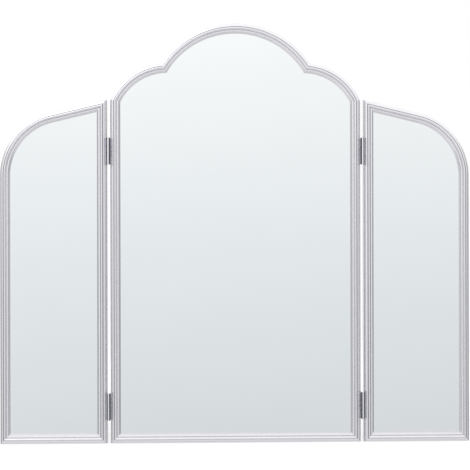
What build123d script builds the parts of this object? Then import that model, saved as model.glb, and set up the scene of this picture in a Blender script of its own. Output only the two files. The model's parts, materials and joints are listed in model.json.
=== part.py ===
from build123d import *
import math
import os

os.makedirs("parts", exist_ok=True)

# Trifold table mirror: an arched centre panel and two wings that fold forward over it.
# Millimetres, Z up. The front faces -Y, and X runs to the right as seen from the front.
# The origin is under the middle of the whole mirror, on the surface it stands on.

# Overall sizes. The folded wing gap lies between the wings' edges when both are folded on the centre panel
overall_height = 612.0
centre_width = 365.0
panel_gap = 5.0
folded_wing_gap = 55.0

# Outline of the centre panel: a crown arc between two shoulder arcs
crown_radius = 131.0
shoulder_radius = 91.5
shoulder_inset = 83.6
shoulder_drop = 18.1

# Outline of a wing: a sloping top rail and a bend down to the outer stile
wing_rise = 1.0
wing_top_slope = 13.5
wing_bend_radius = 94.0

# Moulding section: widths run inward from the outer edge, drops run back from the front crest
frame_depth = 18.0
band_width = 5.4
quirk_width = 0.2
bead_width = 3.0
groove_width = 0.7
inner_step_width = 3.2
inner_step_chamfer = 0.6
lip_width = 2.0
rebate_width = 5.5
side_drop = 5.4
band_bulge_in = 2.0
band_bulge_drop = 2.5
band_drop = 1.1
bead_foot_drop = 1.2
groove_drop = 3.3
inner_crest_drop = 2.4
inner_slope_drop = 0.3
inner_foot_drop = 3.4
lip_top_drop = 4.7
sight_drop = 6.2
glass_drop = 7.2

# Glass, backing board and the flat points that hold them in
glass_clearance = 0.8
glass_thickness = 3.0
board_thickness = 3.0
point_thickness = 0.6
point_width = 8.0
point_bite = 4.0
point_reach = 9.0
point_slot_clearance = 0.05

# Steel wedges pressed in across each joint of a frame, from behind
wedge_leg = 4.5
wedge_thickness = 0.6
wedge_height = 9.0
wedge_sink = 0.2
wedge_from_edge = 7.0
wedge_half_angle = 45.0
wedge_slot_clearance = 0.05

# Butt hinges
hinge_height = 38.0
lower_hinge_height = 54.0
upper_hinge_below_corner = 75.0
knuckle_count = 3
knuckle_gap = 0.15
barrel_radius = 3.0
pin_ahead = 0.5
pin_radius = 1.45
pin_clearance = 0.05
pin_head_radius = 2.1
pin_head_height = 0.6
leaf_width = 12.5
leaf_thickness = 1.2
leaf_corner_radius = 1.0
leaf_swing_clearance = 0.35

# Countersunk hinge screws
screw_spacing = 24.0
screw_from_pin = 8.6
screw_length = 8.5
screw_shank_radius = 1.2
screw_head_radius = 2.3
screw_clearance = 0.05

# Derived places
moulding_width = band_width + quirk_width + bead_width + groove_width + inner_step_width + lip_width
rebate_wall = moulding_width - rebate_width
overall_depth = frame_depth + pin_ahead + barrel_radius
back_y = overall_depth / 2
pin_y = back_y - frame_depth - pin_ahead
half_centre = centre_width / 2
pin_x = half_centre + panel_gap / 2
wing_inner_x = half_centre + panel_gap
wing_width = half_centre - folded_wing_gap / 2
wing_outer_x = wing_inner_x + wing_width
crown_centre = (0.0, overall_height - crown_radius)
shoulder_centre = (half_centre - shoulder_inset, crown_centre[1] - shoulder_drop)
glass_inset = rebate_wall + glass_clearance
glass_front = frame_depth - glass_drop
glass_back = glass_front - glass_thickness
board_back = glass_back - board_thickness


# Plane geometry of the outlines, with points as (x, z)


def height_on_circle(centre, radius, x):
    """Height of the upper side of a circle at x."""
    return centre[1] + math.sqrt(radius**2 - (x - centre[0]) ** 2)


def upper_crossing(centre_a, radius_a, centre_b, radius_b):
    """The higher of the two points where two circles cross."""
    span = math.dist(centre_a, centre_b)
    way = unit(centre_a, centre_b)
    along = (radius_a**2 - radius_b**2 + span**2) / (2 * span)
    off = math.sqrt(radius_a**2 - along**2)
    foot = step_from(centre_a, way, along)
    across = (-way[1], way[0])
    return max(step_from(foot, across, off), step_from(foot, across, -off), key=lambda point: point[1])


def unit(start, end):
    """Unit vector from one point to another."""
    length = math.dist(start, end)
    return ((end[0] - start[0]) / length, (end[1] - start[1]) / length)


def step_from(point, way, distance):
    """The point at a distance along a unit vector."""
    return (point[0] + way[0] * distance, point[1] + way[1] * distance)


def between(start, end):
    """The point half way from one to another."""
    return ((start[0] + end[0]) / 2, (start[1] + end[1]) / 2)


def angle_of(centre, point):
    """Direction from a circle's centre to a point, in degrees from +X towards +Z."""
    return math.degrees(math.atan2(point[1] - centre[1], point[0] - centre[0]))


def on_circle(centre, radius, angle):
    """Point of a circle at an angle in degrees from +X towards +Z."""
    return step_from(centre, (math.cos(math.radians(angle)), math.sin(math.radians(angle))), radius)


def arc_between(centre, radius, start, end):
    """Arc about a centre from one point to another, by the short way round."""
    middle = (angle_of(centre, start) + angle_of(centre, end)) / 2
    return ThreePointArc(start, on_circle(centre, radius, middle), end)


# Outlines of the panels at any inset from the outer edge, for the frames, glass and boards


def centre_points(inset):
    """Bottom corner, shoulder corner and cusp, on the right half of the centre panel."""
    side = half_centre - inset
    corner = (side, height_on_circle(shoulder_centre, shoulder_radius - inset, side))
    cusp = upper_crossing(shoulder_centre, shoulder_radius - inset, crown_centre, crown_radius - inset)
    return (side, inset), corner, cusp


def centre_face(inset):
    """Flat outline of the centre panel."""
    foot, corner, cusp = centre_points(inset)
    half = [
        Line((0, inset), foot),
        Line(foot, corner),
        arc_between(shoulder_centre, shoulder_radius - inset, corner, cusp),
        arc_between(crown_centre, crown_radius - inset, cusp, (0, overall_height - inset)),
    ]
    return make_face(half + [mirror(edge, about=Plane.YZ) for edge in half])


slope = math.radians(wing_top_slope)
bend_x = wing_outer_x - wing_bend_radius
wing_top_height = centre_points(0)[1][1] + wing_rise
bend_drop = (bend_x - wing_inner_x) * math.tan(slope) + wing_bend_radius / math.cos(slope)
bend_centre = (bend_x, wing_top_height - bend_drop)


def wing_points(inset):
    """Bottom inner and outer corners, low and high ends of the bend, and top corner, on the right wing."""
    inner_x = wing_inner_x + inset
    outer_x = wing_outer_x - inset
    bend_high = on_circle(bend_centre, wing_bend_radius - inset, 90 - wing_top_slope)
    top = (inner_x, bend_high[1] + (bend_high[0] - inner_x) * math.tan(slope))
    return (inner_x, inset), (outer_x, inset), (outer_x, bend_centre[1]), bend_high, top


def wing_face(inset):
    """Flat outline of the right wing."""
    inner_foot, outer_foot, bend_low, bend_high, top = wing_points(inset)
    return make_face(
        [
            Line(inner_foot, outer_foot),
            Line(outer_foot, bend_low),
            arc_between(bend_centre, wing_bend_radius - inset, bend_low, bend_high),
            Line(bend_high, top),
            Line(top, inner_foot),
        ]
    )


# Placing flat shapes and sections: heights run forward from the back plane of the frames


def plate(face, low, high):
    """Flat piece from an outline, between two heights above the back plane."""
    base = Plane(origin=(0, back_y - low, 0), x_dir=(1, 0, 0), z_dir=(0, -1, 0))
    return extrude(base * face, amount=high - low)


def section_plane(outer_point, inward):
    """Plane across a member: its X runs inward from the outer edge and its Y runs forward."""
    origin = (outer_point[0], back_y, outer_point[1])
    return Plane(origin=origin, x_dir=(inward[0], 0, inward[1]), z_dir=(inward[1], 0, -inward[0]))


def mirrored(part):
    """The same piece on the left."""
    return mirror(part, about=Plane.YZ)


def without(member, tools):
    """A member with slots or holes cut out of it."""
    for tool in tools:
        member = member - tool
    return member


def write(name, *shapes):
    """Save one named piece, or a group of like pieces."""
    solids = [solid for shape in shapes for solid in shape.solids()]
    export_step(solids[0] if len(solids) == 1 else Compound(solids), f"parts/{name}.step")


# Moulding


def moulding_section():
    """Outer band, bead, groove, inner step and lip, with the rebate for the glass behind."""
    bead_start = band_width + quirk_width
    bead_end = bead_start + bead_width
    inner_start = bead_end + groove_width
    inner_end = inner_start + inner_step_width
    side = (0, frame_depth - side_drop)
    band = (band_width, frame_depth - band_drop)
    bead_foot = (bead_start, frame_depth - bead_foot_drop)
    bead_far = (bead_end, frame_depth - bead_foot_drop)
    groove = (bead_end, frame_depth - groove_drop)
    inner_near = (inner_start, frame_depth - groove_drop)
    inner_crest = (inner_start + inner_step_chamfer, frame_depth - inner_crest_drop)
    inner_slope = (inner_end - inner_step_chamfer, frame_depth - inner_crest_drop - inner_slope_drop)
    inner_far = (inner_end, frame_depth - inner_foot_drop)
    lip = (inner_end, frame_depth - lip_top_drop)
    sight = (moulding_width, frame_depth - sight_drop)
    ledge = (moulding_width, glass_front)
    rebate = (rebate_wall, glass_front)
    rebate_back = (rebate_wall, 0)
    return make_face(
        [
            Line((0, 0), side),
            ThreePointArc(side, (band_bulge_in, frame_depth - band_bulge_drop), band),
            Line(band, bead_foot),
            ThreePointArc(bead_foot, (bead_start + bead_width / 2, frame_depth), bead_far),
            Line(bead_far, groove),
            Line(groove, inner_near),
            Line(inner_near, inner_crest),
            Line(inner_crest, inner_slope),
            Line(inner_slope, inner_far),
            Line(inner_far, lip),
            Line(lip, sight),
            Line(sight, ledge),
            Line(ledge, rebate),
            Line(rebate, rebate_back),
            Line(rebate_back, (0, 0)),
        ]
    )


section = moulding_section()
trim_length = 2.5 * moulding_width


def cut_at(member, joint, kept):
    """Trim a member at the upright plane through a joint's outer and sight points, keeping one side."""
    outer, sight = joint
    way = unit(outer, sight)
    normal = (-way[1], way[0])
    side = normal[0] * (kept[0] - outer[0]) + normal[1] * (kept[1] - outer[1])
    facing = (math.copysign(1, side) * normal[0], 0, math.copysign(1, side) * normal[1])
    return split(member, Plane((outer[0], 0, outer[1]), x_dir=(0, 1, 0), z_dir=facing), keep=Keep.TOP)


def straight_member(start_joint, end_joint):
    """Straight moulding between two joints, with its inner side to the left of the way."""
    start, end = start_joint[0], end_joint[0]
    way = unit(start, end)
    blank_start = step_from(start, way, -trim_length)
    blank_section = section_plane(blank_start, (-way[1], way[0])) * section
    blank = extrude(blank_section, amount=math.dist(start, end) + 2 * trim_length)
    middle = between(start, end)
    return cut_at(cut_at(blank, start_joint, middle), end_joint, middle)


def curved_member(centre, radius, start_joint, end_joint):
    """Curved moulding about a centre, counter-clockwise between two joints as seen from the front."""
    spare = math.degrees(trim_length / radius)
    first = angle_of(centre, start_joint[0]) - spare
    sweep = angle_of(centre, end_joint[0]) + spare - first
    blank_start = on_circle(centre, radius, first)
    blank_section = section_plane(blank_start, unit(blank_start, centre)) * section
    blank = revolve(blank_section, Axis((centre[0], 0, centre[1]), (0, -1, 0)), sweep)
    middle = on_circle(centre, radius, first + sweep / 2)
    return cut_at(cut_at(blank, start_joint, middle), end_joint, middle)


# Joint wedges, in slots cut from behind


def wedge(joint, clearance=0.0):
    """One V wedge across a joint, its point inward and a leg in each member."""
    outer, sight = joint
    bearing = angle_of(outer, sight)
    along_joint = wedge_from_edge * math.dist(outer, sight) / moulding_width
    tip = step_from(outer, unit(outer, sight), along_joint)
    outline = Rectangle(wedge_leg + 2 * clearance, wedge_thickness + 2 * clearance)
    legs = []
    for turn in (180 - wedge_half_angle, 180 + wedge_half_angle):
        middle = on_circle(tip, wedge_leg / 2, bearing + turn)
        legs.append(Pos(*middle) * Rot(Z=bearing + turn) * outline)
    return plate(legs[0] + legs[1], wedge_sink - clearance, wedge_sink + wedge_height + clearance)


# Retaining points, in slots in the rebate wall


def retaining_point(place, clearance=0.0):
    """One flat steel point, pressed into the rebate wall and lying on the backing board."""
    outer_point, inward = place
    low = rebate_wall - point_bite - clearance
    high = rebate_wall + point_reach + clearance
    middle_height = board_back - point_thickness / 2
    blank = Box(high - low, point_thickness + 2 * clearance, point_width + 2 * clearance)
    return section_plane(outer_point, inward) * Pos((low + high) / 2, middle_height, 0) * blank


def half_steps(start, end, count):
    """Evenly spaced values, half a step in from both ends."""
    step = (end - start) / count
    return [start + step * (i + 0.5) for i in range(count)]


def places_along(start, end, count):
    """Places on a straight member, each with its inward direction, to the left of the way."""
    way = unit(start, end)
    inward = (-way[1], way[0])
    return [(step_from(start, way, d), inward) for d in half_steps(0, math.dist(start, end), count)]


def places_round(centre, radius, start, end, count):
    """Places on a curved member, each with its inward direction, to the centre."""
    angles = half_steps(angle_of(centre, start), angle_of(centre, end), count)
    outer = [on_circle(centre, radius, angle) for angle in angles]
    return [(point, unit(point, centre)) for point in outer]


# Hinge screws, driven from the gap into the stiles on both sides of it


def screw_blank(clearance):
    """Countersunk screw along X, with its flat head at the origin and as deep as the leaf is thick."""
    shank = screw_shank_radius + clearance
    length = screw_length + clearance
    outline = Polyline(
        (0, 0),
        (0, screw_head_radius + clearance),
        (leaf_thickness, shank),
        (length, shank),
        (length, 0),
        close=True,
    )
    return revolve(make_face(outline), Axis.X)


def leaf_inner_x(side):
    """Gap side of a leaf of the right hinges: side is -1 on the centre panel and 1 on the wing."""
    return pin_x + side * (panel_gap / 2 - leaf_thickness)


def screw(side, height, clearance=0.0):
    """One screw through a leaf of the right hinges, with its head flush in the leaf."""
    blank = screw_blank(clearance)
    if side < 0:
        blank = mirrored(blank)
    return Pos(leaf_inner_x(side), pin_y + screw_from_pin, height) * blank


hinge_middles = {
    "lower": lower_hinge_height,
    "upper": centre_points(0)[1][1] - upper_hinge_below_corner,
}
screw_offsets = (-screw_spacing / 2, screw_spacing / 2)
screw_heights = [middle + offset for middle in hinge_middles.values() for offset in screw_offsets]


def screw_holes(side):
    """Pilot holes for all the right screws on one side of the gap."""
    return [screw(side, height, screw_clearance) for height in screw_heights]


# Centre panel: the right half and the middle pieces, mirrored for the left


def flipped(joint):
    """The same joint on the left."""
    return tuple((-x, z) for x, z in joint)


foot_joint, corner_joint, cusp_joint = zip(centre_points(0), centre_points(moulding_width))
left_foot_joint, left_corner_joint, left_cusp_joint = map(flipped, (foot_joint, corner_joint, cusp_joint))
centre_joints = [foot_joint, corner_joint, cusp_joint, left_foot_joint, left_corner_joint, left_cusp_joint]

right_places = places_along(foot_joint[0], corner_joint[0], 3)
right_places += places_round(shoulder_centre, shoulder_radius, corner_joint[0], cusp_joint[0], 1)
centre_places = places_along(left_foot_joint[0], foot_joint[0], 3)
centre_places += places_round(crown_centre, crown_radius, cusp_joint[0], left_cusp_joint[0], 3)
centre_places += right_places
centre_places += [((-x, z), (-way[0], way[1])) for (x, z), way in right_places]

centre_slots = [wedge(joint, wedge_slot_clearance) for joint in centre_joints]
centre_slots += [retaining_point(place, point_slot_clearance) for place in centre_places]

bottom_rail = straight_member(left_foot_joint, foot_joint)
crown = curved_member(crown_centre, crown_radius, cusp_joint, left_cusp_joint)
right_stile = straight_member(foot_joint, corner_joint)
right_shoulder = curved_member(shoulder_centre, shoulder_radius, corner_joint, cusp_joint)
write("centre_bottom_rail", without(bottom_rail, centre_slots))
write("centre_crown", without(crown, centre_slots))

centre_halves = {
    "stile": without(right_stile, centre_slots + screw_holes(-1)),
    "shoulder": without(right_shoulder, centre_slots),
}
for name, piece in centre_halves.items():
    write(f"centre_right_{name}", piece)
    write(f"centre_left_{name}", mirrored(piece))

centre_screws = [screw(-1, height) for height in screw_heights]
write("centre_joint_wedges", *[wedge(joint) for joint in centre_joints])
write("centre_retaining_points", *[retaining_point(place) for place in centre_places])
write("centre_hinge_screws", *centre_screws, *[mirrored(piece) for piece in centre_screws])
write("centre_mirror_glass", plate(centre_face(glass_inset), glass_back, glass_front))
write("centre_backing_board", plate(centre_face(glass_inset), board_back, glass_back))


# Wings, made on the right and mirrored for the left

wing_joints = list(zip(wing_points(0), wing_points(moulding_width)))
inner_foot_joint, outer_foot_joint, bend_low_joint, bend_high_joint, top_joint = wing_joints

wing_places = places_along(inner_foot_joint[0], outer_foot_joint[0], 1)
wing_places += places_along(outer_foot_joint[0], bend_low_joint[0], 3)
wing_places += places_round(bend_centre, wing_bend_radius, bend_low_joint[0], bend_high_joint[0], 2)
wing_places += places_along(bend_high_joint[0], top_joint[0], 1)
wing_places += places_along(top_joint[0], inner_foot_joint[0], 3)

wing_slots = [wedge(joint, wedge_slot_clearance) for joint in wing_joints]
wing_slots += [retaining_point(place, point_slot_clearance) for place in wing_places]

wing_members = {
    "bottom_rail": straight_member(inner_foot_joint, outer_foot_joint),
    "outer_stile": straight_member(outer_foot_joint, bend_low_joint),
    "corner_bend": curved_member(bend_centre, wing_bend_radius, bend_low_joint, bend_high_joint),
    "top_rail": straight_member(bend_high_joint, top_joint),
    "inner_stile": without(straight_member(top_joint, inner_foot_joint), screw_holes(1)),
}
wing_pieces = {name: [without(member, wing_slots)] for name, member in wing_members.items()}
wing_pieces["mirror_glass"] = [plate(wing_face(glass_inset), glass_back, glass_front)]
wing_pieces["backing_board"] = [plate(wing_face(glass_inset), board_back, glass_back)]
wing_pieces["joint_wedges"] = [wedge(joint) for joint in wing_joints]
wing_pieces["retaining_points"] = [retaining_point(place) for place in wing_places]
wing_pieces["hinge_screws"] = [screw(1, height) for height in screw_heights]
for name, pieces in wing_pieces.items():
    write(f"right_wing_{name}", *pieces)
    write(f"left_wing_{name}", *[mirrored(piece) for piece in pieces])


# Butt hinges, made on the right and mirrored for the left


def upright(radius, low, high):
    """Cylinder on the right pin's line between two heights."""
    return Pos(pin_x, pin_y, (low + high) / 2) * Cylinder(radius, high - low)


def hinge_leaf(middle, side):
    """Leaf with its share of the knuckles: side is -1 for the centre panel's and 1 for the wing's."""
    low = middle - hinge_height / 2
    leaf_middle_x = (leaf_inner_x(side) + pin_x + side * panel_gap / 2) / 2
    leaf = Pos(leaf_middle_x, pin_y + leaf_width / 2, middle) * Box(leaf_thickness, leaf_width, hinge_height)
    leaf = fillet(leaf.edges().filter_by(Axis.X).group_by(Axis.Y)[-1], leaf_corner_radius)
    knuckle_height = hinge_height / knuckle_count
    for index in range(knuckle_count):
        start = low + index * knuckle_height
        end = start + knuckle_height
        is_own = (index % 2 == 0) == (side < 0)
        if is_own:
            bottom = start if index == 0 else start + knuckle_gap / 2
            top = end if index == knuckle_count - 1 else end - knuckle_gap / 2
            leaf += upright(barrel_radius, bottom, top)
        else:
            swing_radius = barrel_radius + leaf_swing_clearance
            leaf -= upright(swing_radius, start - knuckle_gap / 2, end + knuckle_gap / 2)
    leaf -= upright(pin_radius + pin_clearance, low - pin_head_height, low + hinge_height + pin_head_height)
    return without(leaf, [screw(side, height, screw_clearance) for height in screw_heights])


def hinge_pin(middle):
    """Pin through all the knuckles, with a riveted head on each end."""
    low = middle - hinge_height / 2
    high = middle + hinge_height / 2
    pin = upright(pin_radius, low, high)
    pin += upright(pin_head_radius, low - pin_head_height, low)
    pin += upright(pin_head_radius, high, high + pin_head_height)
    return pin


for level, middle in hinge_middles.items():
    hinge_pieces = {
        "centre_leaf": hinge_leaf(middle, -1),
        "wing_leaf": hinge_leaf(middle, 1),
        "pin": hinge_pin(middle),
    }
    for name, piece in hinge_pieces.items():
        write(f"{level}_right_hinge_{name}", piece)
        write(f"{level}_left_hinge_{name}", mirrored(piece))
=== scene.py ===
import json
import math

import bmesh
import bpy
from mathutils import Euler, Matrix, Vector


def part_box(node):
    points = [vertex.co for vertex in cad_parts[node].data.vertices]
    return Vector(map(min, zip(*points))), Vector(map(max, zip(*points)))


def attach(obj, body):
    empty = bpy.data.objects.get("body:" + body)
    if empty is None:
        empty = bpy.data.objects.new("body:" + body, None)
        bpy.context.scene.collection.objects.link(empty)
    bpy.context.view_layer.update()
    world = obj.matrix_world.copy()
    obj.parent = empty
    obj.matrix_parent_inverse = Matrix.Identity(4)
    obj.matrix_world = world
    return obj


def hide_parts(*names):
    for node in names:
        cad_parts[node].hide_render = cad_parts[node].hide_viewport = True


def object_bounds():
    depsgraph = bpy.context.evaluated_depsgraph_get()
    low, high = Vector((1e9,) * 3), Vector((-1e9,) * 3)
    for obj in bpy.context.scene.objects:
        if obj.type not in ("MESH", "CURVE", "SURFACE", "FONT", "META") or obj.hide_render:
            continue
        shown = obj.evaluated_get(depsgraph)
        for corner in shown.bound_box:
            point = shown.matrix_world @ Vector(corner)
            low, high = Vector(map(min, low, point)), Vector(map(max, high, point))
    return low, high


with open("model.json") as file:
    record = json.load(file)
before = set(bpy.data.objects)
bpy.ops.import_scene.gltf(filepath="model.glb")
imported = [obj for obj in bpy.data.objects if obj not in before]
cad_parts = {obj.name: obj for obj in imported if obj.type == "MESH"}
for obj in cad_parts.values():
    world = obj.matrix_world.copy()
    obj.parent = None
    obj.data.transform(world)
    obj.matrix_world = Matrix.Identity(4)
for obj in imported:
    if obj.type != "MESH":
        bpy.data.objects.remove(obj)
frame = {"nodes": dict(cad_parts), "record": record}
cad_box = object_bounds()
nodes = frame["nodes"]

# Metres. The front faces -Y and Z is up. Places come from the frame's nodes; the radii, the slope
# and the section's widths are the moulding's own.
MOULDING_WIDTH = 0.0145
CROWN_RADIUS = 0.131
SHOULDER_RADIUS = 0.0915
SHOULDER_INSET = 0.0836
SHOULDER_DROP = 0.0181
BEND_RADIUS = 0.094
TOP_SLOPE = math.radians(13.5)
BARREL_RADIUS = 0.003
PANEL_GAP = 0.005
LEAF_THICKNESS = 0.0012

# Hinge screws. The thread's root end and crest are shares of its pitch, and the recess's taper is its
# floor's size as a share of its mouth's.
SCREW_SPACING = 0.024
SCREW_FROM_PIN = 0.0086
SCREW_LENGTH = 0.0085
SCREW_TIP = 0.0015
SCREW_HEAD_RADIUS = 0.0023
SCREW_SHANK_RADIUS = 0.0012
SCREW_CORE_RADIUS = 0.0009
SCREW_POINT_RADIUS = 0.00018
SCREW_THREADS = 6
THREAD_ROOT_END = 0.4
THREAD_CREST = 0.7
SCREW_SIDES = 24
SCREW_SPIN_STEP = math.radians(37)
RECESS_REACH = 0.0013
RECESS_HALF_WIDTH = 0.00032
RECESS_TAPER = 0.55
RECESS_DEPTH = 0.0008


def painted_shade_tones(quirk, sight_edge):
    """Painted shade across the moulding, from its outer edge to its sight edge: how much darker the lacquer
    is painted in the quirk, the groove and at the sight edge, where shade falls.
    """
    return [
        (0.0, 0.97),
        (0.0043, 1.0),
        (0.0050, quirk),
        (0.0060, quirk),
        (0.0066, 1.0),
        (0.0087, 1.0),
        (0.0095, 0.6),
        (0.0104, 1.0),
        (0.0122, 1.0),
        (0.0131, sight_edge),
    ]


# The bottom rails get a lighter painted shade in the quirk and a darker painted shade at the sight edge than
# the other members
MEMBER_SHADE_TONES = painted_shade_tones(quirk=0.52, sight_edge=0.88)
RAIL_SHADE_TONES = painted_shade_tones(quirk=0.83, sight_edge=0.74)

# Camera: near the middle of the mirror's height and a little to the left of its middle, turned to face it
CAMERA_DISTANCE = 1.5
CAMERA_HEIGHT = 0.303
CAMERA_YAW = math.radians(-1.5)
SENSOR_WIDTH = 36.0
FOCAL_LENGTH = 79.15
CAMERA_SHIFT_LEFT = 0.00135
CAMERA_ROLL = math.radians(-0.12)

# Studio. The room's colours run from straight down (0) to straight up (1). Its walls begin and are full
# where a direction's sideways share reaches these values.
ROOM_COLOURS = [
    (0.0, (0.60, 0.595, 0.605)),
    (0.15, (0.70, 0.69, 0.70)),
    (0.30, (0.74, 0.725, 0.74)),
    (0.40, (0.61, 0.62, 0.637)),
    (0.50, (0.72, 0.731, 0.748)),
    (0.60, (0.87, 0.865, 0.858)),
    (0.75, (0.94, 0.94, 0.94)),
]
ROOM_LIGHT = 1.2
WALL_LIGHT = 0.6
WALL_START = 0.80
WALL_FULL = 0.94
ROOM_LEAN = -0.08
KEY_PLACE = (-1.6, -2.2, 2.4)
KEY_AIM = (0, 0, 0.3)
KEY_SIZE = 1.8
KEY_POWER = 10.0
FLOOR_RADIUS = 1.6
FLOOR_SOLID = 0.8
FLOOR_SIDES = 64
FLOOR_TONE = 0.55
FLOOR_GLOW = 0.54

# Finishes. Noise runs mostly between its low and high values, and its scales are per metre. A roughness
# runs from its value at low noise to that at high noise, and a relief is a strength and a depth.
NOISE_LOW = 0.3
NOISE_HIGH = 0.7
SILVER_COLOURS = [(NOISE_LOW, (0.845, 0.835, 0.865)), (NOISE_HIGH, (0.88, 0.87, 0.90))]
STREAK_SCALE = 1500.0
STREAK_STRETCH = 0.02
STREAK_SHARE = 0.7
CLOUD_SCALE = 45.0
SILVER_METALLIC = 0.92
SILVER_ROUGHNESS = (0.18, 0.24)
SILVER_RELIEF = (0.08, 0.0001)
OVERSPRAY_COLOURS = [(0.35, (0.40, 0.385, 0.38)), (0.65, (0.56, 0.55, 0.555))]
OVERSPRAY_SCALE = 1100.0
OVERSPRAY_METALLIC = 0.35
OVERSPRAY_ROUGHNESS = 0.55
BACK_START = 0.8
BACK_FULL = 0.95
MIRROR_COLOURS = [(NOISE_LOW, (0.895, 0.925, 0.93)), (NOISE_HIGH, (0.905, 0.935, 0.94))]
MIRROR_CLOUD_SCALE = 8.0
MIRROR_HAZE_SCALE = 60.0
MIRROR_ROUGHNESS = (0.004, 0.016)
NICKEL_COLOURS = [(NOISE_LOW, (0.82, 0.82, 0.86)), (NOISE_HIGH, (0.88, 0.88, 0.92))]
NICKEL_MARK_SCALE = 2200.0
NICKEL_ROUGHNESS = (0.07, 0.16)
NICKEL_RELIEF = (0.1, 0.00005)
ZINC_COLOURS = [(NOISE_LOW, (0.46, 0.47, 0.50)), (NOISE_HIGH, (0.66, 0.67, 0.70))]
ZINC_MOTTLE_SCALE = 900.0
ZINC_ROUGHNESS = (0.28, 0.45)
BOARD_COLOURS = [(NOISE_LOW, (0.12, 0.07, 0.038)), (0.5, (0.19, 0.115, 0.065)), (0.72, (0.27, 0.18, 0.11))]
FIBRE_SCALE = 700.0
FIBRE_SHARE = 0.85
BOARD_CLOUD_SCALE = 30.0
BOARD_ROUGHNESS = (0.6, 0.78)
BOARD_RELIEF = (0.4, 0.0002)

# The hinge barrels' painted shade, in shares of their radius: the bright crest ends, the strip beside it
# painted dark begins and ends, and the flank is bright again. The last two lie just outside the barrel, where
# the painted shade fades out.
CREST_END = 0.3
DARK_STRIP_START = 0.42
DARK_STRIP_END = 0.82
FLANK_START = 0.95
OFF_BARREL_START = 1.03
OFF_BARREL_FULL = 1.1

# How much of the nickel's colour the painted shade beside the crests takes
PAINTED_SHADE_DARKNESS = 0.95


# Node helpers


def put(tree, kind, links=None, values=None, **settings):
    """Adds a shader node, sets its properties and free inputs, and wires the linked inputs."""
    node = tree.nodes.new(kind)
    for name, value in settings.items():
        setattr(node, name, value)
    for key, value in (values or {}).items():
        node.inputs[key].default_value = value
    for key, socket in (links or {}).items():
        tree.links.new(socket, node.inputs[key])
    return node


def calculate(tree, operation, *terms):
    """A Math node over sockets and plain numbers; gives its output."""
    links = {i: term for i, term in enumerate(terms) if not isinstance(term, (int, float))}
    values = {i: term for i, term in enumerate(terms) if isinstance(term, (int, float))}
    return put(tree, "ShaderNodeMath", links, values, operation=operation).outputs[0]


def dot(tree, vector, direction):
    """The length of a vector socket along a fixed direction."""
    product = put(tree, "ShaderNodeVectorMath", {0: vector}, {1: direction}, operation="DOT_PRODUCT")
    return product.outputs["Value"]


def combine(tree, x, y, z):
    return put(tree, "ShaderNodeCombineXYZ", {0: x, 1: y, 2: z}).outputs[0]


def noise(tree, vector, scale, detail=2.0, roughness=0.5):
    """A noise pattern's value, about 0.5 in the middle."""
    values = {"Scale": scale, "Detail": detail, "Roughness": roughness}
    return put(tree, "ShaderNodeTexNoise", {"Vector": vector}, values).outputs["Fac"]


def spread(tree, value, low, high, to_low, to_high, smooth=False):
    """Maps low..high onto to_low..to_high, and holds it at both ends."""
    kind = "SMOOTHSTEP" if smooth else "LINEAR"
    values = {1: low, 2: high, 3: to_low, 4: to_high}
    return put(tree, "ShaderNodeMapRange", {0: value}, values, interpolation_type=kind).outputs[0]


def ramp(tree, value, stops):
    """Colours along 0..1, from (place, colour) stops."""
    node = put(tree, "ShaderNodeValToRGB", {"Fac": value})
    elements = node.color_ramp.elements
    while len(elements) < len(stops):
        elements.new(1.0)
    for element, (place, colour) in zip(elements, stops):
        element.position = place
        element.color = (*colour, 1.0)
    return node.outputs["Color"]


def mix_values(tree, first, second, share):
    """Two values mixed, by the first one's share."""
    rest = calculate(tree, "MULTIPLY", second, 1.0 - share)
    return calculate(tree, "ADD", calculate(tree, "MULTIPLY", first, share), rest)


def tone(tree, colour, factor):
    """A colour made lighter or darker by a factor."""
    return put(tree, "ShaderNodeVectorMath", {0: colour, "Scale": factor}, operation="SCALE").outputs[0]


def blend_colours(tree, factor, first, second):
    """The first colour at factor 0, the second at 1."""
    node = put(tree, "ShaderNodeMix", {"Factor": factor}, data_type="RGBA")
    tree.links.new(first, node.inputs[6])
    tree.links.new(second, node.inputs[7])
    return node.outputs[2]


def new_material(name):
    material = bpy.data.materials.new(name)
    material.use_nodes = True
    tree = material.node_tree
    return material, tree, tree.nodes["Principled BSDF"]


def add_relief(tree, shader, height, strength, depth):
    """Fine relief in a material's surface, from a pattern's value."""
    bump = put(tree, "ShaderNodeBump", {"Height": height}, {"Strength": strength, "Distance": depth})
    tree.links.new(bump.outputs[0], shader.inputs["Normal"])


def give(node_name, material):
    """Gives a CAD node its finish."""
    for slot in nodes[node_name].material_slots:
        slot.material = material


# Places on the moulding: how far along a member, and how far in from its outer edge


def straight_run(edge_point, way, inward):
    """Run of a straight member, from a point on its outer edge and two directions in the mirror's plane."""

    def places(tree, point):
        start = edge_point.dot(inward)
        return dot(tree, point, way), calculate(tree, "SUBTRACT", dot(tree, point, inward), start)

    return places


def curved_run(centre, radius):
    """Run of a curved member, from the centre and outer radius of its arc."""

    def places(tree, point):
        arm = put(tree, "ShaderNodeVectorMath", {0: point}, {1: centre}, operation="SUBTRACT").outputs[0]
        parts = put(tree, "ShaderNodeSeparateXYZ", {0: arm})
        across, up = parts.outputs["X"], parts.outputs["Z"]
        turn = calculate(tree, "ARCTAN2", across, up)
        in_plane = {1: (1.0, 0.0, 1.0)}
        flat = put(tree, "ShaderNodeVectorMath", {0: arm}, in_plane, operation="MULTIPLY").outputs[0]
        reach = put(tree, "ShaderNodeVectorMath", {0: flat}, operation="LENGTH").outputs["Value"]
        return calculate(tree, "MULTIPLY", turn, radius), calculate(tree, "SUBTRACT", radius, reach)

    return places


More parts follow.
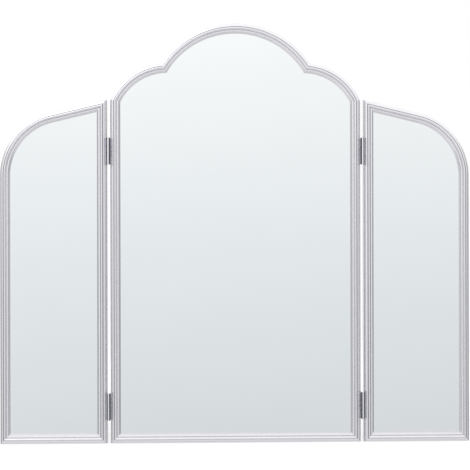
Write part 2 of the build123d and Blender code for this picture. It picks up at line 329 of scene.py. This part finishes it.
def member_runs():
    """Every moulding node with its run."""
    up, right, left = Vector((0, 0, 1)), Vector((1, 0, 0)), Vector((-1, 0, 0))
    runs = {"centre_bottom_rail": straight_run(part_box("centre_bottom_rail")[0], right, up)}
    crown_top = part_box("centre_crown")[1].z
    crown_centre = Vector((0, 0, crown_top - CROWN_RADIUS))
    runs["centre_crown"] = curved_run(crown_centre, CROWN_RADIUS)
    for side, out in (("left", left), ("right", right)):
        end = 0 if side == "left" else 1
        stile = f"centre_{side}_stile"
        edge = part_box(stile)[end]
        runs[stile] = straight_run(edge, up, -out)
        shoulder = Vector((edge.x - out.x * SHOULDER_INSET, 0, crown_centre.z - SHOULDER_DROP))
        runs[f"centre_{side}_shoulder"] = curved_run(shoulder, SHOULDER_RADIUS)

        wing = f"{side}_wing"
        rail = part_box(f"{wing}_bottom_rail")
        runs[f"{wing}_bottom_rail"] = straight_run(rail[0], right, up)
        outer = rail[end]
        inner = rail[1 - end]
        runs[f"{wing}_outer_stile"] = straight_run(outer, up, -out)
        runs[f"{wing}_inner_stile"] = straight_run(inner, up, out)
        top = Vector((inner.x, 0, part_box(f"{wing}_top_rail")[1].z))
        slope = Vector((out.x * math.cos(TOP_SLOPE), 0, -math.sin(TOP_SLOPE)))
        inward = Vector((-out.x * math.sin(TOP_SLOPE), 0, -math.cos(TOP_SLOPE)))
        runs[f"{wing}_top_rail"] = straight_run(top, slope, inward)
        bend_x = outer.x - out.x * BEND_RADIUS
        to_edge = ((bend_x - top.x) * slope.z / slope.x) + BEND_RADIUS / inward.z
        bend = Vector((bend_x, 0, top.z + to_edge))
        runs[f"{wing}_corner_bend"] = curved_run(bend, BEND_RADIUS)
    return runs


# Materials


def painted_groove_shade(tree, inward, shade_levels):
    """Painted shade across the moulding: the lacquer painted darker in the quirk, the groove and at the sight
    edge, where shade falls.
    """
    grey = [(place / MOULDING_WIDTH, (light, light, light)) for place, light in shade_levels]
    return ramp(tree, calculate(tree, "DIVIDE", inward, MOULDING_WIDTH), grey)


def overspray(tree, point):
    """Thin matt lacquer over the board at the back of the frame."""
    return ramp(tree, noise(tree, point, OVERSPRAY_SCALE, 5.0, 0.7), OVERSPRAY_COLOURS)


def silver_lacquer(name, run, shade_levels):
    """Satin silver lacquer: fine streaks along the moulding, painted shade in the quirk, the groove and at
    the sight edge, and matt at the back.
    """
    material, tree, shader = new_material(name)
    point = put(tree, "ShaderNodeTexCoord").outputs["Object"]
    depth = put(tree, "ShaderNodeSeparateXYZ", {0: point}).outputs["Y"]
    along, inward = run(tree, point)
    streak_place = combine(tree, calculate(tree, "MULTIPLY", along, STREAK_STRETCH), inward, depth)
    streaks = noise(tree, streak_place, STREAK_SCALE, 3.0)
    clouds = noise(tree, point, CLOUD_SCALE, 3.0)
    both = mix_values(tree, streaks, clouds, STREAK_SHARE)
    silver = ramp(tree, both, SILVER_COLOURS)
    # Painted shade: darker lacquer in the quirk, the groove and at the sight edge
    shade_in_grooves = painted_groove_shade(tree, inward, shade_levels)
    facing = put(tree, "ShaderNodeSeparateXYZ", {0: put(tree, "ShaderNodeTexCoord").outputs["Normal"]})
    at_back = spread(tree, facing.outputs["Y"], BACK_START, BACK_FULL, 0.0, 1.0)
    front = tone(tree, silver, shade_in_grooves)
    tree.links.new(blend_colours(tree, at_back, front, overspray(tree, point)), shader.inputs["Base Color"])
    metallic = spread(tree, at_back, 0.0, 1.0, SILVER_METALLIC, OVERSPRAY_METALLIC)
    tree.links.new(metallic, shader.inputs["Metallic"])
    satin = spread(tree, both, NOISE_LOW, NOISE_HIGH, *SILVER_ROUGHNESS)
    rough = calculate(tree, "MAXIMUM", satin, calculate(tree, "MULTIPLY", at_back, OVERSPRAY_ROUGHNESS))
    tree.links.new(rough, shader.inputs["Roughness"])
    add_relief(tree, shader, both, *SILVER_RELIEF)
    return material


def silvered_glass():
    """Float glass silvered behind: a clean mirror with a slight cool tint."""
    material, tree, shader = new_material("silvered_glass")
    point = put(tree, "ShaderNodeTexCoord").outputs["Object"]
    colour = ramp(tree, noise(tree, point, MIRROR_CLOUD_SCALE), MIRROR_COLOURS)
    tree.links.new(colour, shader.inputs["Base Color"])
    shader.inputs["Metallic"].default_value = 1.0
    haze = noise(tree, point, MIRROR_HAZE_SCALE, 3.0)
    rough = spread(tree, haze, NOISE_LOW, NOISE_HIGH, *MIRROR_ROUGHNESS)
    tree.links.new(rough, shader.inputs["Roughness"])
    return material


def polished_nickel():
    """Polished nickel plate with fine rubbing marks, and painted shade in strips beside the barrels' crests
    that stands in for their shadow and dark reflection.
    """
    material, tree, shader = new_material("polished_nickel")
    point = put(tree, "ShaderNodeTexCoord").outputs["Object"]
    marks = noise(tree, point, NICKEL_MARK_SCALE, 3.0)
    colour = ramp(tree, marks, NICKEL_COLOURS)
    low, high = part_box("lower_right_hinge_pin")
    pin = (low + high) / 2
    parts = put(tree, "ShaderNodeSeparateXYZ", {0: point})
    aside = calculate(tree, "SUBTRACT", calculate(tree, "ABSOLUTE", parts.outputs["X"]), pin.x)
    behind = calculate(tree, "SUBTRACT", parts.outputs["Y"], pin.y)
    squares = [calculate(tree, "MULTIPLY", length, length) for length in (aside, behind)]
    reach = calculate(tree, "SQRT", calculate(tree, "ADD", *squares))
    off_start, off_full = BARREL_RADIUS * OFF_BARREL_START, BARREL_RADIUS * OFF_BARREL_FULL
    on_barrel = spread(tree, reach, off_start, off_full, 1.0, 0.0)
    offset = calculate(tree, "ABSOLUTE", aside)
    crest_end, strip_start = BARREL_RADIUS * CREST_END, BARREL_RADIUS * DARK_STRIP_START
    off_crest = spread(tree, offset, crest_end, strip_start, 0.0, PAINTED_SHADE_DARKNESS)
    strip_end, flank_start = BARREL_RADIUS * DARK_STRIP_END, BARREL_RADIUS * FLANK_START
    off_flank = spread(tree, offset, strip_end, flank_start, 1.0, 0.0)
    # Painted shade: dark strips beside the bright crest, fading out just beyond the barrel
    dark = calculate(tree, "MULTIPLY", off_crest, off_flank)
    barrel_shade = calculate(tree, "SUBTRACT", 1.0, calculate(tree, "MULTIPLY", on_barrel, dark))
    tree.links.new(tone(tree, colour, barrel_shade), shader.inputs["Base Color"])
    shader.inputs["Metallic"].default_value = 1.0
    rough = spread(tree, marks, NOISE_LOW, NOISE_HIGH, *NICKEL_ROUGHNESS)
    tree.links.new(rough, shader.inputs["Roughness"])
    add_relief(tree, shader, marks, *NICKEL_RELIEF)
    return material


def zinc_plate():
    """Zinc-plated steel of the screws, points and wedges: dull, with a fine crystal mottle."""
    material, tree, shader = new_material("zinc_plate")
    point = put(tree, "ShaderNodeTexCoord").outputs["Object"]
    mottle = noise(tree, point, ZINC_MOTTLE_SCALE, 4.0, 0.6)
    tree.links.new(ramp(tree, mottle, ZINC_COLOURS), shader.inputs["Base Color"])
    shader.inputs["Metallic"].default_value = 1.0
    rough = spread(tree, mottle, NOISE_LOW, NOISE_HIGH, *ZINC_ROUGHNESS)
    tree.links.new(rough, shader.inputs["Roughness"])
    return material


def hardboard():
    """Brown hardboard: fine fibres pressed flat, with a faint mottle."""
    material, tree, shader = new_material("hardboard")
    point = put(tree, "ShaderNodeTexCoord").outputs["Object"]
    fibres = noise(tree, point, FIBRE_SCALE, 6.0, 0.7)
    clouds = noise(tree, point, BOARD_CLOUD_SCALE, 3.0)
    both = mix_values(tree, fibres, clouds, FIBRE_SHARE)
    tree.links.new(ramp(tree, both, BOARD_COLOURS), shader.inputs["Base Color"])
    rough = spread(tree, both, NOISE_LOW, NOISE_HIGH, *BOARD_ROUGHNESS)
    tree.links.new(rough, shader.inputs["Roughness"])
    add_relief(tree, shader, fibres, *BOARD_RELIEF)
    return material


def finish_nodes():
    """Gives every CAD node its material, by what the record says it is made of, and makes the screws."""
    runs = member_runs()
    finishes = {
        "mirror_glass": silvered_glass(),
        "polished_hinge": polished_nickel(),
        "steel_hardware": zinc_plate(),
        "backing_board": hardboard(),
    }
    for part in frame["record"]["subparts"]:
        name = part["node"]
        if name in runs:
            # The bottom rails get their own levels of painted shade
            shade_levels = RAIL_SHADE_TONES if name.endswith("bottom_rail") else MEMBER_SHADE_TONES
            give(name, silver_lacquer(f"silver_{name}", runs[name], shade_levels))
        else:
            give(name, finishes[part["material_slot"]])
    make_screws(finishes["steel_hardware"])


# Hinge screws: countersunk, with a cross recess and a thread


def screw_section():
    """Radius and depth down a screw, from the rim of its head to its point."""
    section = [(SCREW_HEAD_RADIUS, 0.0), (SCREW_CORE_RADIUS, -LEAF_THICKNESS)]
    pitch = (SCREW_LENGTH - SCREW_TIP - LEAF_THICKNESS) / SCREW_THREADS
    for turn in range(SCREW_THREADS):
        depth = LEAF_THICKNESS + turn * pitch
        section.append((SCREW_CORE_RADIUS, -depth - pitch * THREAD_ROOT_END))
        section.append((SCREW_SHANK_RADIUS, -depth - pitch * THREAD_CREST))
    section.append((SCREW_CORE_RADIUS, -(SCREW_LENGTH - SCREW_TIP)))
    section.append((SCREW_POINT_RADIUS, -SCREW_LENGTH))
    return section


def cross_outline(reach, half_width):
    """The twelve corners of a cross, turning left."""
    corners = []
    for quarter in range(4):
        turn = Matrix.Rotation(quarter * math.pi / 2, 2)
        for x, y in ((half_width, half_width), (half_width, reach), (-half_width, reach)):
            corners.append(turn @ Vector((x, y)))
    return corners


def add_screw(bm, place):
    """One screw in a mesh, its head's face in the local XY plane, put in place by a matrix."""
    section = screw_section()
    rings = []
    for radius, depth in section:
        angles = [2 * math.pi * i / SCREW_SIDES for i in range(SCREW_SIDES)]
        rings.append([bm.verts.new((radius * math.cos(a), radius * math.sin(a), depth)) for a in angles])
    for upper, lower in zip(rings, rings[1:]):
        for i in range(SCREW_SIDES):
            j = (i + 1) % SCREW_SIDES
            bm.faces.new((upper[i], lower[i], lower[j], upper[j]))
    bm.faces.new(reversed(rings[-1]))
    top = [bm.verts.new((x, y, 0.0)) for x, y in cross_outline(RECESS_REACH, RECESS_HALF_WIDTH)]
    floor_corners = cross_outline(RECESS_REACH * RECESS_TAPER, RECESS_HALF_WIDTH * RECESS_TAPER)
    floor = [bm.verts.new((x, y, -RECESS_DEPTH)) for x, y in floor_corners]
    for i in range(len(top)):
        j = (i + 1) % len(top)
        bm.faces.new((top[i], top[j], floor[j], floor[i]))
    bm.faces.new(floor)
    edges = []
    for loop in (rings[0], top):
        edges += [bm.edges.get((loop[i], loop[(i + 1) % len(loop)])) for i in range(len(loop))]
    bmesh.ops.triangle_fill(bm, use_beauty=True, edges=edges)
    made = [v for ring in rings for v in ring] + top + floor
    bmesh.ops.transform(bm, matrix=place, verts=made)


def make_screws(material):
    """The screws of all four hinges, one piece for each CAD node that they replace."""
    groups = {"centre": ("centre_panel", "centre_hinge_screws")}
    for side in ("left", "right"):
        groups[side] = (f"{side}_wing", f"{side}_wing_hinge_screws")
    meshes = {key: bmesh.new() for key in groups}
    turned = 0
    for side, out in (("left", -1), ("right", 1)):
        for level in ("lower", "upper"):
            low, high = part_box(f"{level}_{side}_hinge_pin")
            pin = (low + high) / 2
            for offset in (-SCREW_SPACING / 2, SCREW_SPACING / 2):
                for key, away in (("centre", -out), (side, out)):
                    head_x = pin.x + away * (PANEL_GAP / 2 - LEAF_THICKNESS)
                    tip = Vector((away, 0, 0))
                    facing = (-tip).to_track_quat("Z", "Y").to_matrix().to_4x4()
                    spin = Matrix.Rotation(turned * SCREW_SPIN_STEP, 4, "Z")
                    turned += 1
                    where = Matrix.Translation((head_x, pin.y + SCREW_FROM_PIN, pin.z + offset))
                    add_screw(meshes[key], where @ facing @ spin)
    for key, (body, node) in groups.items():
        bm = meshes[key]
        bmesh.ops.recalc_face_normals(bm, faces=bm.faces)
        mesh = bpy.data.meshes.new(f"{node}_with_recess")
        bm.to_mesh(mesh)
        bm.free()
        mesh.materials.append(material)
        piece = bpy.data.objects.new(f"{node}_with_recess", mesh)
        bpy.context.scene.collection.objects.link(piece)
        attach(piece, body)
        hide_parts(node)


# Studio


def studio_world():
    """White behind the object. What the mirror and the metal reflect is a room that is lightest above
    and greyer below, with darker walls at its sides and a little more light on the left."""
    world = bpy.data.worlds.new("studio")
    bpy.context.scene.world = world
    world.use_nodes = True
    tree = world.node_tree
    background = tree.nodes["Background"]
    direction = put(tree, "ShaderNodeTexCoord").outputs["Generated"]
    parts = put(tree, "ShaderNodeSeparateXYZ", {0: direction})
    height = spread(tree, parts.outputs["Z"], -1.0, 1.0, 0.0, 1.0)
    room = ramp(tree, height, ROOM_COLOURS)
    sideways = parts.outputs["X"]
    aside = calculate(tree, "ABSOLUTE", sideways)
    walls = spread(tree, aside, WALL_START, WALL_FULL, ROOM_LIGHT, WALL_LIGHT, smooth=True)
    lean = calculate(tree, "MULTIPLY_ADD", sideways, ROOM_LEAN, 1.0)
    room = tone(tree, room, calculate(tree, "MULTIPLY", walls, lean))
    seen = put(tree, "ShaderNodeLightPath").outputs["Is Camera Ray"]
    mix = put(tree, "ShaderNodeMix", {"Factor": seen}, data_type="RGBA")
    tree.links.new(room, mix.inputs[6])
    mix.inputs[7].default_value = (1.0, 1.0, 1.0, 1.0)
    tree.links.new(mix.outputs[2], background.inputs["Color"])
    background.inputs["Strength"].default_value = 1.0


def soft_lamp(name, place, aim, size, power):
    """A square softbox pointed at a place."""
    lamp = bpy.data.lights.new(name, "AREA")
    lamp.size = size
    lamp.energy = power
    lamp_object = bpy.data.objects.new(name, lamp)
    bpy.context.scene.collection.objects.link(lamp_object)
    lamp_object.location = place
    lamp_object.rotation_euler = (Vector(aim) - Vector(place)).to_track_quat("-Z", "Y").to_euler()


def studio_floor():
    """A pale round floor that keeps the object's shadow and fades into the white behind it."""
    angles = [2 * math.pi * i / FLOOR_SIDES for i in range(FLOOR_SIDES)]
    rim = [(FLOOR_RADIUS * math.cos(angle), FLOOR_RADIUS * math.sin(angle), 0.0) for angle in angles]
    mesh = bpy.data.meshes.new("floor")
    mesh.from_pydata(rim, [], [tuple(range(FLOOR_SIDES))])
    floor = bpy.data.objects.new("floor", mesh)
    bpy.context.scene.collection.objects.link(floor)

    material = bpy.data.materials.new("pale_floor")
    material.use_nodes = True
    tree = material.node_tree
    tree.nodes.clear()
    paint = put(tree, "ShaderNodeBsdfDiffuse", None, {"Color": (FLOOR_TONE, FLOOR_TONE, FLOOR_TONE, 1.0)})
    glow = put(tree, "ShaderNodeEmission", None, {"Color": (1.0, 1.0, 1.0, 1.0), "Strength": FLOOR_GLOW})
    lit = put(tree, "ShaderNodeAddShader", {0: paint.outputs[0], 1: glow.outputs[0]})
    clear = put(tree, "ShaderNodeBsdfTransparent")
    path = put(tree, "ShaderNodeLightPath")
    point = put(tree, "ShaderNodeTexCoord").outputs["Object"]
    reach = put(tree, "ShaderNodeVectorMath", {0: point}, operation="LENGTH").outputs["Value"]
    fade = spread(tree, reach, FLOOR_SOLID, FLOOR_RADIUS, 0.0, 1.0, smooth=True)
    unseen = calculate(tree, "MAXIMUM", fade, calculate(tree, "SUBTRACT", 1.0, path.outputs["Is Camera Ray"]))
    mix = put(tree, "ShaderNodeMixShader", {0: unseen, 1: lit.outputs[0], 2: clear.outputs[0]})
    put(tree, "ShaderNodeOutputMaterial", {"Surface": mix.outputs[0]})
    mesh.materials.append(material)


def photo_camera():
    """The photograph's viewing angle: level but for a slight roll, and almost flat-on to the mirror."""
    front = cad_box[0].y
    camera = bpy.data.cameras.new("camera")
    camera.sensor_width = SENSOR_WIDTH
    camera.lens = FOCAL_LENGTH
    camera_object = bpy.data.objects.new("camera", camera)
    bpy.context.scene.collection.objects.link(camera_object)
    camera_object.location = (
        CAMERA_DISTANCE * math.sin(CAMERA_YAW) - CAMERA_SHIFT_LEFT,
        front - CAMERA_DISTANCE * math.cos(CAMERA_YAW),
        CAMERA_HEIGHT,
    )
    level = Euler((math.radians(90), 0, CAMERA_YAW)).to_matrix()
    camera_object.rotation_euler = (level @ Matrix.Rotation(CAMERA_ROLL, 3, "Z")).to_euler()
    bpy.context.scene.camera = camera_object


bpy.context.scene.view_settings.view_transform = "Standard"
finish_nodes()
studio_world()
studio_floor()
soft_lamp("key", KEY_PLACE, KEY_AIM, KEY_SIZE, KEY_POWER)
photo_camera()
